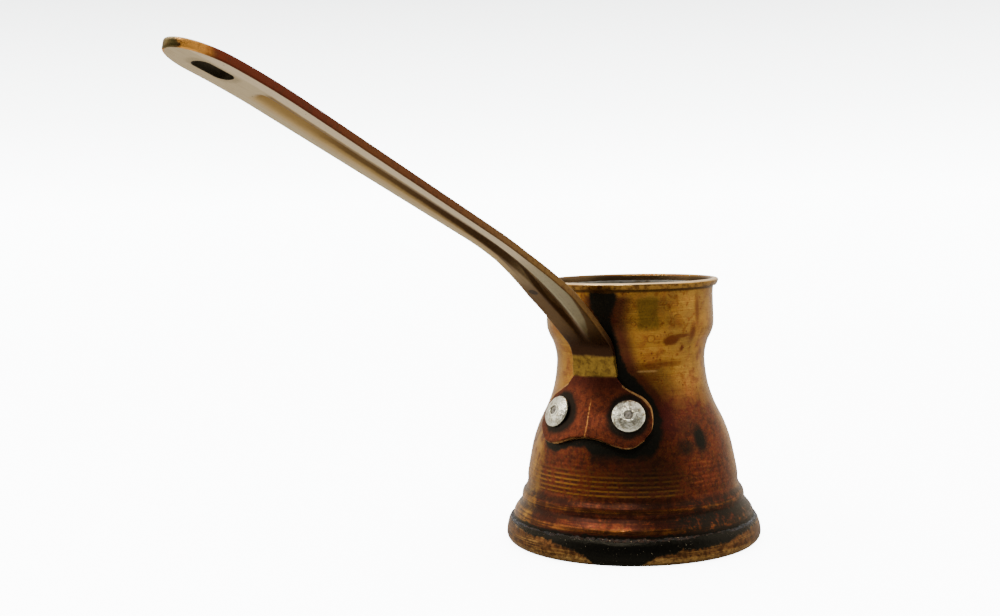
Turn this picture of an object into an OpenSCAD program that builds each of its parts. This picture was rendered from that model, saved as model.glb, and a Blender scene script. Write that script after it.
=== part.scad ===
// Small spun-brass coffee pot (cezve): waisted body on a wide stepped foot, soldered-on base plate,
// tinned inside, with one long brass strip handle held by two blind rivets.
// Origin: centre of the underside. +Z is up, +X runs along the handle. Millimetres.

/* [Pot body] */
// Height of the pot from the table to the rim
pot_h = 66; // [62:0.5:72]
// Outside diameter of the base plate's skirt
base_d = 64.2; // [62:0.2:68]
// Outside diameter of the narrow waist
waist_d = 37.1; // [35:0.1:39]
// Outside diameter of the straight collar under the rim
collar_d = 41.8; // [40:0.1:44]
// Thickness of the spun body sheet
wall_t = 0.8; // [0.6:0.05:1]
// Width of the folded lip, out from the collar
lip_w = 1.3; // [0.9:0.1:1.6]
// Height of the folded lip
lip_h = 1.7; // [1.2:0.1:2.2]
// Thickness of the tin coating inside
tin_t = 0.12; // [0.08:0.01:0.2]

/* [Base plate] */
// Thickness of the pressed base plate
plate_t = 0.9; // [0.7:0.05:1.1]
// Height of the skirt that wraps the body's foot
skirt_h = 6.4; // [5.8:0.1:6.6]
// Width of the rounded corner under the skirt
corner_w = 2.8; // [2:0.1:3.2]
// Height of the rounded corner under the skirt
corner_h = 2.4; // [2:0.1:3]

/* [Handle] */
// Thickness of the handle strip
strip_t = 1.75; // [1.4:0.05:2]
// Half the handle's width at its widest, near the tip
tip_half = 4.9; // [4.6:0.1:5.6]
// Half the handle's width at its narrowest
mid_half = 4.1; // [3.7:0.1:4.5]
// Half the handle's width where it leaves the pot
neck_half = 5.6; // [5.2:0.1:5.9]
// Radius of the first bend, out from the body
neck_bend_r = 6.5; // [5:0.5:8]
// Slope of the handle just outside the rim, in degrees
rise_deg = 36.3; // [34:0.1:39]
// Length of the steep stretch between the two bends
rise_l = 6; // [5:0.2:10]
// Radius of the long second bend
long_bend_r = 180; // [140:1:200]
// Slope of the long straight stretch, in degrees
slope_deg = 20.8; // [19:0.1:23]
// Length of the straight stretch
straight_l = 66.6; // [55:0.1:80]
// Slope of the drooping tip, in degrees
tip_deg = 16.8; // [14:0.2:18]
// Length over which the tip droops, as far as its oval end
droop_l = 18; // [14:0.5:22]
// Length of the oval end
tip_l = 9.8; // [7:0.1:11]
// Depth of the stiffening groove in the underside
groove_d = 0.9; // [0.4:0.05:1]
// Half the groove's width
groove_half = 1.75; // [1.2:0.05:2.2]

/* [Hanging slot] */
// Width of the slot in the handle's tip
slot_w = 4.2; // [4.2:0.1:5]
// Length of the slot, end to end
slot_l = 8.8; // [8.8:0.1:11]
// Distance from the very tip to the slot's middle
slot_back = 10.5; // [9:0.1:12]

/* [Rivets] */
// Angle of each rivet from the handle's plane
rivet_az = 24.6; // [23:0.2:26]
// Height on the body where a rivet's axis passes through it
rivet_z = 33.7; // [33:0.1:35]
// Shank diameter
shank_d = 4; // [3.6:0.1:4.4]
// Head diameter
head_d = 8; // [7:0.1:8.4]
// Height of the domed head
head_h = 1.5; // [1.2:0.1:1.8]
// Diameter of the steel mandrel left inside
mandrel_d = 2.2; // [1.8:0.1:2.4]

/* [Hidden] */
$fn = 96;
eps = 0.01;
TIN = "#b9b7b0";
BRASS = "#b8863a";

// ---- Curve helpers -----------------------------------------------------------------------------

// A point on a smooth curve through p1 and p2, where u runs from 0 to 1 between them
function curve_point(p0, p1, p2, p3, u) =
    0.5 * (2 * p1 + (p2 - p0) * u + (2 * p0 - 5 * p1 + 4 * p2 - p3) * u * u
    + (3 * p1 - p0 - 3 * p2 + p3) * u * u * u);

// A smooth curve through the given points, in the given number of steps between each two
function smooth(pts, steps) = [
    for (i = [0 : len(pts) - 2], k = [0 : steps - 1])
        curve_point(pts[max(i - 1, 0)], pts[i], pts[i + 1], pts[min(i + 2, len(pts) - 1)], k / steps),
    pts[len(pts) - 1]
];

// The curve moved sideways by d, to the right of its direction of travel
function shifted(pts, d) = [
    for (i = [0 : len(pts) - 1])
        let (along = pts[min(i + 1, len(pts) - 1)] - pts[max(i - 1, 0)])
        pts[i] + d * [along[1], -along[0]] / norm(along)
];

function reversed(pts) = [for (i = [len(pts) - 1 : -1 : 0]) pts[i]];

// An arc from angle a0 to a1 on an ellipse
function arc(centre, rx, ry, a0, a1, steps) = [
    for (k = [0 : steps])
        let (a = a0 + (a1 - a0) * k / steps)
        centre + [rx * cos(a), ry * sin(a)]
];

// ---- Body profile, as [radius, height] from the foot to the collar ------------------------------

base_r = base_d / 2;
waist_r = waist_d / 2;
collar_r = collar_d / 2;
foot_r = base_r - 1.75;
foot_z = plate_t + 0.3;
lip_z = pot_h - lip_h;
collar_z = pot_h - 11.2;
waist_z = pot_h - 20;

body_curve = concat(
    [[foot_r, foot_z]],
    smooth([
        [foot_r, 6.8], [base_r - 2.2, 8.3], [base_r - 3.3, 9.8], [base_r - 4.05, 10.8],
        [base_r - 4.1, 11.8], [base_r - 4.4, 13], [base_r - 5.25, 14.3], [base_r - 5.6, 15.6],
        [base_r - 5.75, 18], [base_r - 7.15, 25], [base_r - 8.85, 30],
        [(base_r - 7.15 + waist_r) / 2 - 0.9, 35], [waist_r + 0.7, 40], [waist_r, waist_z],
        [waist_r + 0.65, waist_z + 4], [collar_r - 0.55, collar_z - 2.2], [collar_r, collar_z],
        [collar_r - 0.05, collar_z + 4], [collar_r - 0.1, lip_z - 2], [collar_r + 0.05, lip_z]
    ], 4)
);
inner_curve = shifted(body_curve, -wall_t);
tin_curve = shifted(inner_curve, -tin_t);

// Radius of the body's outside at a height, and how far its surface leans back there
function body_r(z) = lookup(z, [for (p = body_curve) [p[1], p[0]]]);
function body_lean(z) = atan((body_r(z - 1) - body_r(z + 1)) / 2);

rim_r = collar_r + lip_w;
rim_round = 0.75;
lip_curve = concat(
    [[collar_r + 0.05 + wall_t / 2, lip_z], [rim_r - 0.1, lip_z + 0.2 * lip_h]],
    arc([rim_r - rim_round, pot_h - rim_round], rim_round, rim_round, 0, 90, 6),
    arc([rim_r - 1.25, pot_h - rim_round], rim_round, rim_round, 100, 180, 4)
);

// ---- Base plate profile -------------------------------------------------------------------------

flat_r = base_r - corner_w;
plate_outside = concat(
    arc([flat_r, corner_h], corner_w, corner_h, -90, 0, 8),
    [[base_r - 0.15, 3.8], [base_r - 0.6, 5.4], [base_r - 0.95, skirt_h - 0.15]]
);
plate_inside = concat(
    arc([flat_r, corner_h], corner_w - plate_t, corner_h - plate_t, -90, 0, 8),
    [[base_r - plate_t - 0.15, 3.8], [base_r - plate_t - 0.55, 5.4], [foot_r + 0.15, skirt_h - 0.15]]
);

// ---- Handle: one sheet, laid out as rows of points across its width ------------------------------

// The strip's path in the XZ plane, as [x, z, heading], along the face away from the pot
neck_x = waist_r + strip_t + 0.2;
neck_z = waist_z + 0.8;

function turned(p, r, to) = [
    p[0] + r * (sin(p[2]) - sin(to)), p[1] + r * (cos(to) - cos(p[2])), to
];
function moved(p, l) = [p[0] + l * cos(p[2]), p[1] + l * sin(p[2]), p[2]];

start_p = [neck_x, neck_z, 90];
bend1_p = turned(start_p, neck_bend_r, rise_deg);
rise_p = moved(bend1_p, rise_l);
bend2_p = turned(rise_p, long_bend_r, slope_deg);
droop_p = moved(bend2_p, straight_l);
droop_r = droop_l / ((slope_deg - tip_deg) * PI / 180);
end_p = turned(droop_p, droop_r, tip_deg);

bend_steps = 8;
straight_steps = 10;
droop_steps = 6;
tip_steps = 7;
strip_path = concat(
    [for (k = [0 : bend_steps]) turned(start_p, neck_bend_r, 90 + (rise_deg - 90) * k / bend_steps)],
    [moved(bend1_p, rise_l / 3), moved(bend1_p, 2 * rise_l / 3)],
    [for (k = [0 : bend_steps])
        turned(rise_p, long_bend_r, rise_deg + (slope_deg - rise_deg) * k / bend_steps)],
    [for (k = [1 : straight_steps]) moved(bend2_p, straight_l * k / straight_steps)],
    [for (k = [1 : droop_steps])
        turned(droop_p, droop_r, slope_deg + (tip_deg - slope_deg) * k / droop_steps)],
    [for (k = [1 : tip_steps]) moved(end_p, tip_l * sin(90 * k / tip_steps) * 0.998)]
);

function strip_half(x) = lookup(x, [
    [neck_x, neck_half - 0.1], [neck_x + 9, neck_half + 0.1], [neck_x + 20, neck_half + 0.2],
    [neck_x + 28, neck_half - 0.6], [neck_x + 37, mid_half + 0.05], [neck_x + 44, mid_half - 0.05],
    [end_p[0] - 22, tip_half - 0.1], [end_p[0] - 7, tip_half]
]);
function tip_ratio(x) = max(0, (x - end_p[0]) / cos(tip_deg) / tip_l);
function row_half(x) = strip_half(x) * sqrt(1 - tip_ratio(x) * tip_ratio(x));

// The groove starts square near the tip, and fades out on the way to the pot
groove_end_x = end_p[0] - 10.8;
function groove_at(x) = groove_d * lookup(x, [
    [neck_x + 2, 0], [neck_x + 14, 0.85], [neck_x + 30, 1], [groove_end_x - 2, 1], [groove_end_x, 0]
]);

// Columns across the sheet: half_cols each side of the middle one
half_cols = 9;
groove_cols = 6;
cols = [for (k = [-half_cols : half_cols]) k];

// How far column k lies from the middle of a strip of the given half width
function strip_side(k, half) =
    sign(k) * lookup(abs(k), [[0, 0], [groove_cols, min(groove_half, half * 0.6)], [half_cols, half]]);

// A point on the strip in column k, sunk by a depth under its outer face
function strip_point(p, k, depth) = let (
    side = strip_side(k, row_half(p[0])),
    wave = abs(k) < groove_cols ? (1 + cos(180 * k / groove_cols)) / 2 : 0,
    sunk = depth + groove_at(p[0]) * wave
) [p[0] - sunk * sin(p[2]), side, p[1] + sunk * cos(p[2])];

// Play between the bracket and the body
seat_gap = 0.03;

// The bracket's outline on the body, as [angle from the handle's plane, height]
edge_az = rivet_az + 8.7;
edge_z = rivet_z - 4.85;
lower_edge = smooth([
    [0, edge_z + 0.5], [9, edge_z], [15.5, edge_z - 1], [22, edge_z - 1.7],
    [28, edge_z - 1.5], [edge_az, edge_z]
], 4);
side_edge = smooth([
    [edge_az, edge_z], [edge_az + 4.4, edge_z + 1.9], [edge_az + 6, rivet_z],
    [edge_az + 5.1, rivet_z + 2.5], [edge_az + 0.6, rivet_z + 4.6], [rivet_az + 1, rivet_z + 6.4],
    [21, rivet_z + 7.5], [16.5, rivet_z + 9.5]
], 2);
last_row = len(side_edge) - 1;

// A point on the bracket in row j and column k, lifted off the body's outside
function bracket_point(j, k, lift) = let (
    az = side_edge[j][0] * k / half_cols,
    arch = lookup(edge_az * abs(k) / half_cols, lower_edge) - edge_z,
    z = side_edge[j][1] + arch * pow(1 - j / last_row, 1.5),
    lean = body_lean(z),
    r = body_r(z) + lift * cos(lean)
) [r * cos(az), r * sin(az), z + lift * sin(lean)];

// Two rows that turn the curved bracket into the flat strip
function neck_row(share, depth) = let (
    z = side_edge[last_row][1] * (1 - share) + neck_z * share
) [for (k = cols) let (
    az = strip_side(k, neck_half) / waist_r * 180 / PI,
    hugging = [(body_r(z) + strip_t - depth) * cos(az), (body_r(z) + strip_t - depth) * sin(az), z],
    flat = [neck_x - depth, strip_side(k, neck_half), z]
) hugging * (1 - share) + flat * share];

function both_faces(outer, inner) = concat(outer, reversed(inner));
handle_rows = concat(
    [for (j = [0 : last_row]) both_faces(
        [for (k = cols) bracket_point(j, k, seat_gap + strip_t)],
        [for (k = cols) bracket_point(j, k, seat_gap)])],
    [for (share = [0.35, 0.7]) both_faces(neck_row(share, 0), neck_row(share, strip_t))],
    [for (p = strip_path) both_faces(
        [for (k = cols) strip_point(p, k, 0)], [for (k = cols) strip_point(p, k, strip_t)])]
);

// ---- Pieces -------------------------------------------------------------------------------------

// Puts its children on a rivet's axis: +Z out of the body, 0 on the body's outside
module at_rivet(side) {
    rotate([0, 0, side * rivet_az])
        translate([body_r(rivet_z), 0, rivet_z])
            rotate([0, 90 - body_lean(rivet_z), 0])
                children();
}

module both_rivet_holes() {
    for (side = [-1, 1])
        at_rivet(side)
            translate([0, 0, -4])
                cylinder(d = shank_d, h = 10);
}

// Spun sheet body: foot, two beads, waist, collar and folded lip
module pot_shell() {
    color(BRASS)
        difference() {
            rotate_extrude()
                polygon(concat(body_curve, lip_curve, reversed(inner_curve)));
            both_rivet_holes();
        }
}

// Pressed base plate: a flat disc whose skirt wraps up round the body's foot
module base_plate() {
    color(BRASS)
        rotate_extrude()
            polygon(concat([[0, 0]], plate_outside, reversed(plate_inside), [[0, plate_t]]));
}

// Solder that fills the seam between the skirt and the foot
module base_solder() {
    color("#3a3028")
        rotate_extrude()
            polygon(concat(
                plate_inside, [[foot_r, skirt_h + 0.2]],
                [[foot_r, foot_z], [foot_r - wall_t, foot_z]]
            ));
}

// Hot-wiped tin over the whole inside
module tin_lining() {
    color(TIN)
        difference() {
            rotate_extrude()
                polygon(concat(
                    [[0, plate_t], [flat_r, plate_t]], inner_curve,
                    reversed(tin_curve), [[flat_r - tin_t, plate_t + tin_t], [0, plate_t + tin_t]]
                ));
            both_rivet_holes();
        }
}

// Long slot in the tip, to hang the pot by
slot_arc_steps = 12;
module hanging_slot() {
    half_run = (slot_l - slot_w) / 2;
    centre = moved(end_p, tip_l - slot_back);
    translate([centre[0], 0, centre[1]])
        rotate([0, -tip_deg, 0])
            translate([0, 0, -4])
                linear_extrude(height = 10)
                    polygon(concat(
                        arc([half_run, 0], slot_w / 2, slot_w / 2, -90, 90, slot_arc_steps),
                        arc([-half_run, 0], slot_w / 2, slot_w / 2, 90, 270, slot_arc_steps)
                    ));
}

// Handle and two-lobed bracket, cut and bent from one strip
module handle_sheet() {
    n = len(handle_rows[0]);
    last = len(handle_rows) - 1;
    polyhedron(
        points = [for (row = handle_rows, q = row) q],
        faces = concat(
            [for (k = [0 : n / 2 - 2]) each [[k, k + 1, n - 1 - k], [k + 1, n - 2 - k, n - 1 - k]]],
            [for (i = [0 : last - 1], k = [0 : n - 1])
                let (a = i * n + k, b = i * n + (k + 1) % n)
                each [[a, a + n, b], [b, a + n, b + n]]],
            [for (k = [0 : n / 2 - 2]) let (e = last * n)
                each [[e + k, e + n - 1 - k, e + k + 1], [e + k + 1, e + n - 1 - k, e + n - 2 - k]]]
        ),
        convexity = 8
    );
}

module handle() {
    color(BRASS)
        difference() {
            handle_sheet();
            hanging_slot();
            both_rivet_holes();
        }
}

// Closed-end blind rivet: domed head outside, sealed swelled tail inside, hollow for its mandrel
head_seat = strip_t + 0.18;
tail_top = -wall_t - tin_t - 0.3;
tail_l = 4.6;
tail_d = shank_d + 1.2;
mandrel_low = tail_top - tail_l + 1;
mandrel_head_d = mandrel_d + 1;
mandrel_head_l = 1.5;
module rivet_body() {
    head_ball = (head_d * head_d / 4 + head_h * head_h) / (2 * head_h);
    color("#c9c7c2")
        difference() {
            union() {
                translate([0, 0, head_seat])
                    intersection() {
                        translate([0, 0, head_h - head_ball])
                            sphere(r = head_ball);
                        cylinder(d = head_d, h = head_h);
                    }
                translate([0, 0, tail_top - eps])
                    cylinder(d = shank_d, h = head_seat - tail_top + 2 * eps);
                translate([0, 0, tail_top - tail_l])
                    cylinder(d = tail_d, h = tail_l);
            }
            translate([0, 0, mandrel_low])
                cylinder(d = mandrel_d, h = head_seat + head_h + 1 - mandrel_low);
            translate([0, 0, mandrel_low])
                cylinder(d = mandrel_head_d, h = mandrel_head_l);
        }
}

// Steel mandrel stub, broken off just below the top of the head, with its own head in the tail
module rivet_mandrel() {
    color("#8f8d8a")
        translate([0, 0, mandrel_low]) {
            cylinder(d = mandrel_d, h = head_seat + head_h - 0.35 - mandrel_low);
            cylinder(d = mandrel_head_d, h = mandrel_head_l);
        }
}

module rivet_body_left() { at_rivet(1) rivet_body(); }
module rivet_body_right() { at_rivet(-1) rivet_body(); }
module rivet_mandrel_left() { at_rivet(1) rivet_mandrel(); }
module rivet_mandrel_right() { at_rivet(-1) rivet_mandrel(); }

pot_shell();
base_plate();
base_solder();
tin_lining();
handle();
rivet_body_left();
rivet_body_right();
rivet_mandrel_left();
rivet_mandrel_right();
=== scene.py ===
"""Looks of the small coffee pot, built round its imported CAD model."""

from math import ceil, cos, degrees, pi, radians, sin

import bmesh
import bpy
import numpy as np
from mathutils import Matrix, Vector, noise


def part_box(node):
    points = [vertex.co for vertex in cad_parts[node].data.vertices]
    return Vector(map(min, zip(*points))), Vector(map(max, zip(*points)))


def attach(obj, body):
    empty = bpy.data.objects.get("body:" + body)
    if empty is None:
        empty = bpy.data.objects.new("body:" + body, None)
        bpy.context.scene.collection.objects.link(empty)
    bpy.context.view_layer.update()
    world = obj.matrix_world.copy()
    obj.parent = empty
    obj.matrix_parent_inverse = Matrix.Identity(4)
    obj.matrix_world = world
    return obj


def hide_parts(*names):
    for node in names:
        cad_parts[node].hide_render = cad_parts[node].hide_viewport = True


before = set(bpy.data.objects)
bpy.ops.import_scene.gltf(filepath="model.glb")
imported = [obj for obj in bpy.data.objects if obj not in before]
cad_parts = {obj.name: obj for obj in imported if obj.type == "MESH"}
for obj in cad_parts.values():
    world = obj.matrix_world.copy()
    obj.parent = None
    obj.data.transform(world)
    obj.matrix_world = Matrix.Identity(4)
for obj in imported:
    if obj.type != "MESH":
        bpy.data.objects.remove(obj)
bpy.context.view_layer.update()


MM = 0.001

# ---- Sizes in millimetres, the outer ones read from the frame ----

base_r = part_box("base_plate")[1].x / MM
pot_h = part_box("pot_shell")[1].z / MM
shell = np.array([v.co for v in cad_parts["pot_shell"].data.vertices]) / MM
rim_r = float(np.hypot(shell[:, 0], shell[:, 1])[shell[:, 2] > pot_h - 1.2].max())

wall_t, tin_t, plate_t = 0.8, 0.12, 0.9
skirt_h, corner_w, corner_h = 6.4, 2.8, 2.4
waist_r, collar_r = 18.55, rim_r - 1.3
foot_r = base_r - 1.75
lip_z = pot_h - 1.7
collar_z = pot_h - 11.2
waist_z = pot_h - 20
strip_t = 1.75
rivet_az, rivet_z = 24.6, 33.7


# ---- Shape helpers ----

def smooth(points, steps):
    """A Catmull-Rom curve through the points."""
    p = [np.array(q, float) for q in points]
    out = []
    for i in range(len(p) - 1):
        a, b, c, d = p[max(i - 1, 0)], p[i], p[i + 1], p[min(i + 2, len(p) - 1)]
        for k in range(steps):
            u = k / steps
            out.append(0.5 * (2 * b + (c - a) * u + (2 * a - 5 * b + 4 * c - d) * u * u
                              + (3 * b - a - 3 * c + d) * u ** 3))
    out.append(p[-1])
    return np.array(out)


def shifted(points, d):
    """The curve moved sideways by d, to the right of its direction of travel."""
    along = np.gradient(points, axis=0)
    along /= np.linalg.norm(along, axis=1)[:, None]
    return points + d * np.stack([along[:, 1], -along[:, 0]], 1)


def arc(centre, rx, ry, a0, a1, steps):
    a = np.radians(np.linspace(a0, a1, steps + 1))
    return np.stack([centre[0] + rx * np.cos(a), centre[1] + ry * np.sin(a)], 1)


def spaced(points, gap, closed=False):
    """The same curve with points no further apart than gap."""
    pts = np.array(points, float)
    if closed:
        pts = np.vstack([pts, pts[:1]])
    out = []
    for a, b in zip(pts[:-1], pts[1:]):
        n = max(1, int(ceil(np.linalg.norm(b - a) / gap)))
        out += [a + (b - a) * k / n for k in range(n)]
    if not closed:
        out.append(pts[-1])
    return np.array(out)


def placed(name, data):
    ob = bpy.data.objects.new(name, data)
    bpy.context.scene.collection.objects.link(ob)
    return ob


def mesh_object(name, verts, faces, sharp=None):
    """A smooth-shaded object from points in millimetres."""
    me = bpy.data.meshes.new(name)
    me.from_pydata([tuple(v) for v in np.array(verts) * MM], [], faces)
    me.validate()
    for p in me.polygons:
        p.use_smooth = True
    if sharp:
        me.set_sharp_from_angle(angle=radians(sharp))
    return placed(name, me)


def revolve(name, profile, segments, change=None, place=None, sharp=40):
    """A closed profile of [radius, height] turned round Z. change(r, z, a) may shift its points."""
    prof = np.array(profile, float)
    n = len(prof)
    a = np.linspace(0, 2 * np.pi, segments, endpoint=False)
    r = np.repeat(prof[:, 0][:, None], segments, 1)
    z = np.repeat(prof[:, 1][:, None], segments, 1)
    aa = np.repeat(a[None], n, 0)
    if change:
        r, z = change(r, z, aa)
    axis = prof[:, 0] < 1e-6
    verts = []
    index = np.zeros((n, segments), int)
    for i in range(n):
        if axis[i]:
            index[i] = len(verts)
            verts.append((0, 0, float(z[i].mean())))
        else:
            index[i] = np.arange(segments) + len(verts)
            verts += list(zip(r[i] * np.cos(a), r[i] * np.sin(a), z[i]))
    faces = []
    for i in range(n):
        j = (i + 1) % n
        if axis[i] and axis[j]:
            continue
        for s in range(segments):
            t = (s + 1) % segments
            q = []
            for v in (index[i][s], index[i][t], index[j][t], index[j][s]):
                if int(v) not in q:
                    q.append(int(v))
            if len(q) > 2:
                faces.append(q)
    pts = np.array(verts)
    if place is not None:
        pts = np.array([place @ Vector(v) for v in pts])
    return mesh_object(name, pts, faces, sharp)


def lumps(r, z, a, scale, seed, octaves=3):
    """Seamless noise over a turned surface."""
    x, y = r * np.cos(a) * scale, r * np.sin(a) * scale
    zz = z * scale + seed
    out = np.zeros(r.shape)
    for i in np.ndindex(r.shape):
        out[i] = noise.fractal(Vector((x[i], y[i], zz[i])), 0.6, 2.1, octaves)
    return out


def step(v, low, high):
    t = np.clip((v - low) / (high - low), 0, 1)
    return t * t * (3 - 2 * t)


# ---- Body ----

body_curve = smooth([
    [foot_r, 6.8], [base_r - 2.2, 8.3], [base_r - 3.3, 9.8], [base_r - 4.05, 10.8],
    [base_r - 4.1, 11.8], [base_r - 4.4, 13], [base_r - 5.25, 14.3], [base_r - 5.6, 15.6],
    [base_r - 5.75, 18], [base_r - 7.15, 25], [base_r - 8.85, 30],
    [(base_r - 7.15 + waist_r) / 2 - 0.9, 35], [waist_r + 0.7, 40], [waist_r, waist_z],
    [waist_r + 0.65, waist_z + 4], [collar_r - 0.55, collar_z - 2.2], [collar_r, collar_z],
    [collar_r - 0.05, collar_z + 4], [collar_r - 0.1, lip_z - 2], [collar_r + 0.05, lip_z],
], 10)
body_curve = np.vstack([[foot_r, plate_t + 0.3], body_curve])
coarse = shifted(body_curve, -wall_t)


def body_r(z):
    return np.interp(z, body_curve[:, 1], body_curve[:, 0])


def body_lean(z):
    return np.arctan((body_r(z - 1) - body_r(z + 1)) / 2)


outside = spaced(body_curve, 0.25)
lip = np.vstack([
    [[collar_r + 0.35, lip_z], [collar_r + 0.75, lip_z - 0.02], [rim_r - 0.55, lip_z + 0.05],
     [rim_r - 0.4, lip_z + 0.22], [rim_r - 0.12, lip_z + 0.85]],
    arc([rim_r - 0.55, pot_h - 0.55], 0.55, 0.55, 0, 90, 8),
    arc([rim_r - 1.25, pot_h - 0.75], 0.75, 0.75, 96, 180, 5),
])


def rim_wave(z, a):
    """How far the collar is out of round, which fades out below it."""
    grow = step(z, 44, 60)
    return grow * (0.10 * np.cos(2 * a + 0.7) + 0.06 * np.cos(3 * a + 2.1) + 0.03 * np.cos(7 * a))


# The lowest of the fine turned lines, and the gap from line to line
line_z, line_gap = 14.2, 1.1
# Soft dents, kept off the bracket: azimuth, height, width and depth
dents = ((72, 52.5, 4, 0.16), (150, 30, 7, 0.22), (-120, 57, 5, 0.2), (100, 22, 6, 0.14))


def body_change(r, z, a):
    out = r + rim_wave(z, a)
    outer = r > body_r(z) - 0.2
    # Fine turned lines low on the body, shallow ones on the collar
    low = step(z, 14.6, 15.6) * (1 - step(z, 22.5, 24.5))
    ring = 0.5 + 0.5 * np.cos(2 * np.pi * (z - line_z) / line_gap)
    out -= outer * low * 0.05 * ring ** 3
    high = step(z, 52, 54) * (1 - step(z, 62, 63.5))
    out -= outer * high * 0.012 * (0.5 + 0.5 * np.cos(2 * np.pi * z / 2.3))
    deg = (np.degrees(a) + 180) % 360 - 180
    for az, h, wide, deep in dents:
        gap = (deg - az + 180) % 360 - 180
        far = np.hypot(np.radians(gap) * r, z - h) / wide
        out -= deep * np.exp(-far ** 2)
    return out, z


inside = spaced(coarse[::-1], 0.5)
inside = inside[inside[:, 1] > plate_t + 0.3]
body = revolve("body_sheet", np.vstack([outside, lip, inside]), 432, body_change)

# ---- Tin lining ----

tin_face = shifted(coarse, -tin_t)
flat_r = base_r - corner_w


def tin_change(r, z, a):
    return r + rim_wave(z, a), z


tin_top = pot_h - 1.6
up = coarse[(coarse[:, 1] > plate_t + 0.3) & (coarse[:, 1] < tin_top)]
down = tin_face[(tin_face[:, 1] > plate_t + 0.5) & (tin_face[:, 1] < tin_top)][::-1]
tin = revolve("tin_coat", np.vstack([
    [[0, plate_t], [foot_r - wall_t, plate_t]], spaced(up, 0.6), spaced(down, 0.6),
    [[foot_r - wall_t - 0.5, plate_t + 0.35], [foot_r - wall_t - 1.3, plate_t + tin_t],
     [0, plate_t + tin_t]],
]), 288, tin_change)

# ---- Base plate and its solder seam ----

under = np.vstack([
    [[0, 0.35], [flat_r * 0.55, 0.35], [flat_r * 0.58, 0.06], [flat_r * 0.6, 0]],
    arc([flat_r, corner_h], corner_w, corner_h, -90, 0, 14),
    [[base_r - 0.15, 3.8], [base_r - 0.6, 5.4], [base_r - 1.0, skirt_h - 0.35],
     [base_r - 1.2, skirt_h - 0.1], [base_r - 1.45, skirt_h - 0.12]],
])
over = np.vstack([
    [[foot_r + 0.12, skirt_h - 0.5], [base_r - plate_t - 0.55, 5.4], [base_r - plate_t - 0.15, 3.8]],
    arc([flat_r, corner_h], corner_w - plate_t, corner_h - plate_t, 0, -90, 10),
    [[0, plate_t]],
])


def plate_change(r, z, a):
    edge = step(z, 4.2, skirt_h)
    wave = 0.16 * np.cos(5 * a + 1) + 0.1 * np.cos(11 * a) + 0.07 * np.cos(23 * a + 2)
    out = r - edge * 0.06 * np.cos(9 * a + 1)
    return out, z + edge * wave


plate = revolve("base_dish", spaced(np.vstack([under, over]), 0.5), 432, plate_change)


def crust_change(r, z, a):
    rough = lumps(r, z, a, 0.55, 3.0, 4)
    fine = lumps(r, z, a, 2.3, 9.0, 2)
    # The crust is thickest at the front
    gap = (np.degrees(a) - 20 + 180) % 360 - 180
    thick = 0.45 + 0.55 * np.exp(-(gap / 34) ** 2)
    face = step(z, skirt_h - 1.0, skirt_h - 0.1)
    return (r + face * thick * (0.10 * rough + 0.08 * fine - 0.05),
            z + face * (thick * (0.38 * rough + 0.16 * fine) - 0.14))


crust = revolve("solder_seam", spaced([
    [foot_r - wall_t, plate_t + 0.35], [foot_r - wall_t, plate_t + 0.05], [foot_r - 0.2, plate_t + 0.05],
    [foot_r + 0.1, 2.5], [foot_r + 0.2, 5.0], [foot_r + 0.4, skirt_h - 0.6],
    [base_r - 1.05, skirt_h - 0.35], [base_r - 1.0, skirt_h - 0.1], [base_r - 1.2, skirt_h + 0.08],
    [foot_r + 0.18, skirt_h + 0.28], [foot_r + 0.0, skirt_h + 0.42], [foot_r - 0.15, skirt_h + 0.25],
    [foot_r - 0.15, 3.0],
], 0.2, True), 640, crust_change, sharp=180)

# ---- Handle ----

tip_half, mid_half, neck_half, tip_l = 4.9, 4.1, 5.6, 9.8
neck_bend_r, rise_deg, rise_l, long_bend_r = 6.5, 36.3, 6.0, 180.0
slope_deg, straight_l, tip_deg, droop_l = 20.8, 66.6, 16.8, 18.0
groove_d, groove_half = 0.9, 1.75
slot_w, slot_l, slot_back = 3.6, 8.4, 10.5
neck_x, neck_z = waist_r + strip_t + 0.2, waist_z + 0.8


def turned(p, r, to):
    """The place and slope after a bend of radius r, from the slope of p to the slope to."""
    s, t = radians(p[2]), radians(to)
    return (p[0] + r * (sin(s) - sin(t)), p[1] + r * (cos(t) - cos(s)), to)


def moved(p, way):
    s = radians(p[2])
    return (p[0] + way * cos(s), p[1] + way * sin(s), p[2])


bend1_p = turned((neck_x, neck_z, 90.0), neck_bend_r, rise_deg)
rise_p = moved(bend1_p, rise_l)
bend2_p = turned(rise_p, long_bend_r, slope_deg)
droop_p = moved(bend2_p, straight_l)
droop_r = droop_l / radians(slope_deg - tip_deg)
end_p = turned(droop_p, droop_r, tip_deg)

path = [turned((neck_x, neck_z, 90.0), neck_bend_r, 90 + (rise_deg - 90) * k / 20) for k in range(21)]
path += [moved(bend1_p, rise_l * k / 8) for k in range(1, 8)]
path += [turned(rise_p, long_bend_r, rise_deg + (slope_deg - rise_deg) * k / 50) for k in range(51)]
path += [moved(bend2_p, straight_l * k / 90) for k in range(1, 91)]
path += [turned(droop_p, droop_r, slope_deg + (tip_deg - slope_deg) * k / 26) for k in range(1, 27)]


def lookup(x, pairs):
    return float(np.interp(x, [p[0] for p in pairs], [p[1] for p in pairs]))


# Half the strip's width, between its neck and its tip
widths = [
    (neck_x + 9, neck_half + 0.1), (neck_x + 20, neck_half + 0.2), (neck_x + 28, neck_half - 0.6),
    (neck_x + 37, mid_half + 0.05), (neck_x + 44, mid_half - 0.05), (end_p[0] - 22, tip_half - 0.1)]


def strip_half(x):
    return lookup(x, [(neck_x, neck_half - 0.1), *widths, (end_p[0] - 7, tip_half)])


groove_end_x = end_p[0] - 10.8


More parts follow.
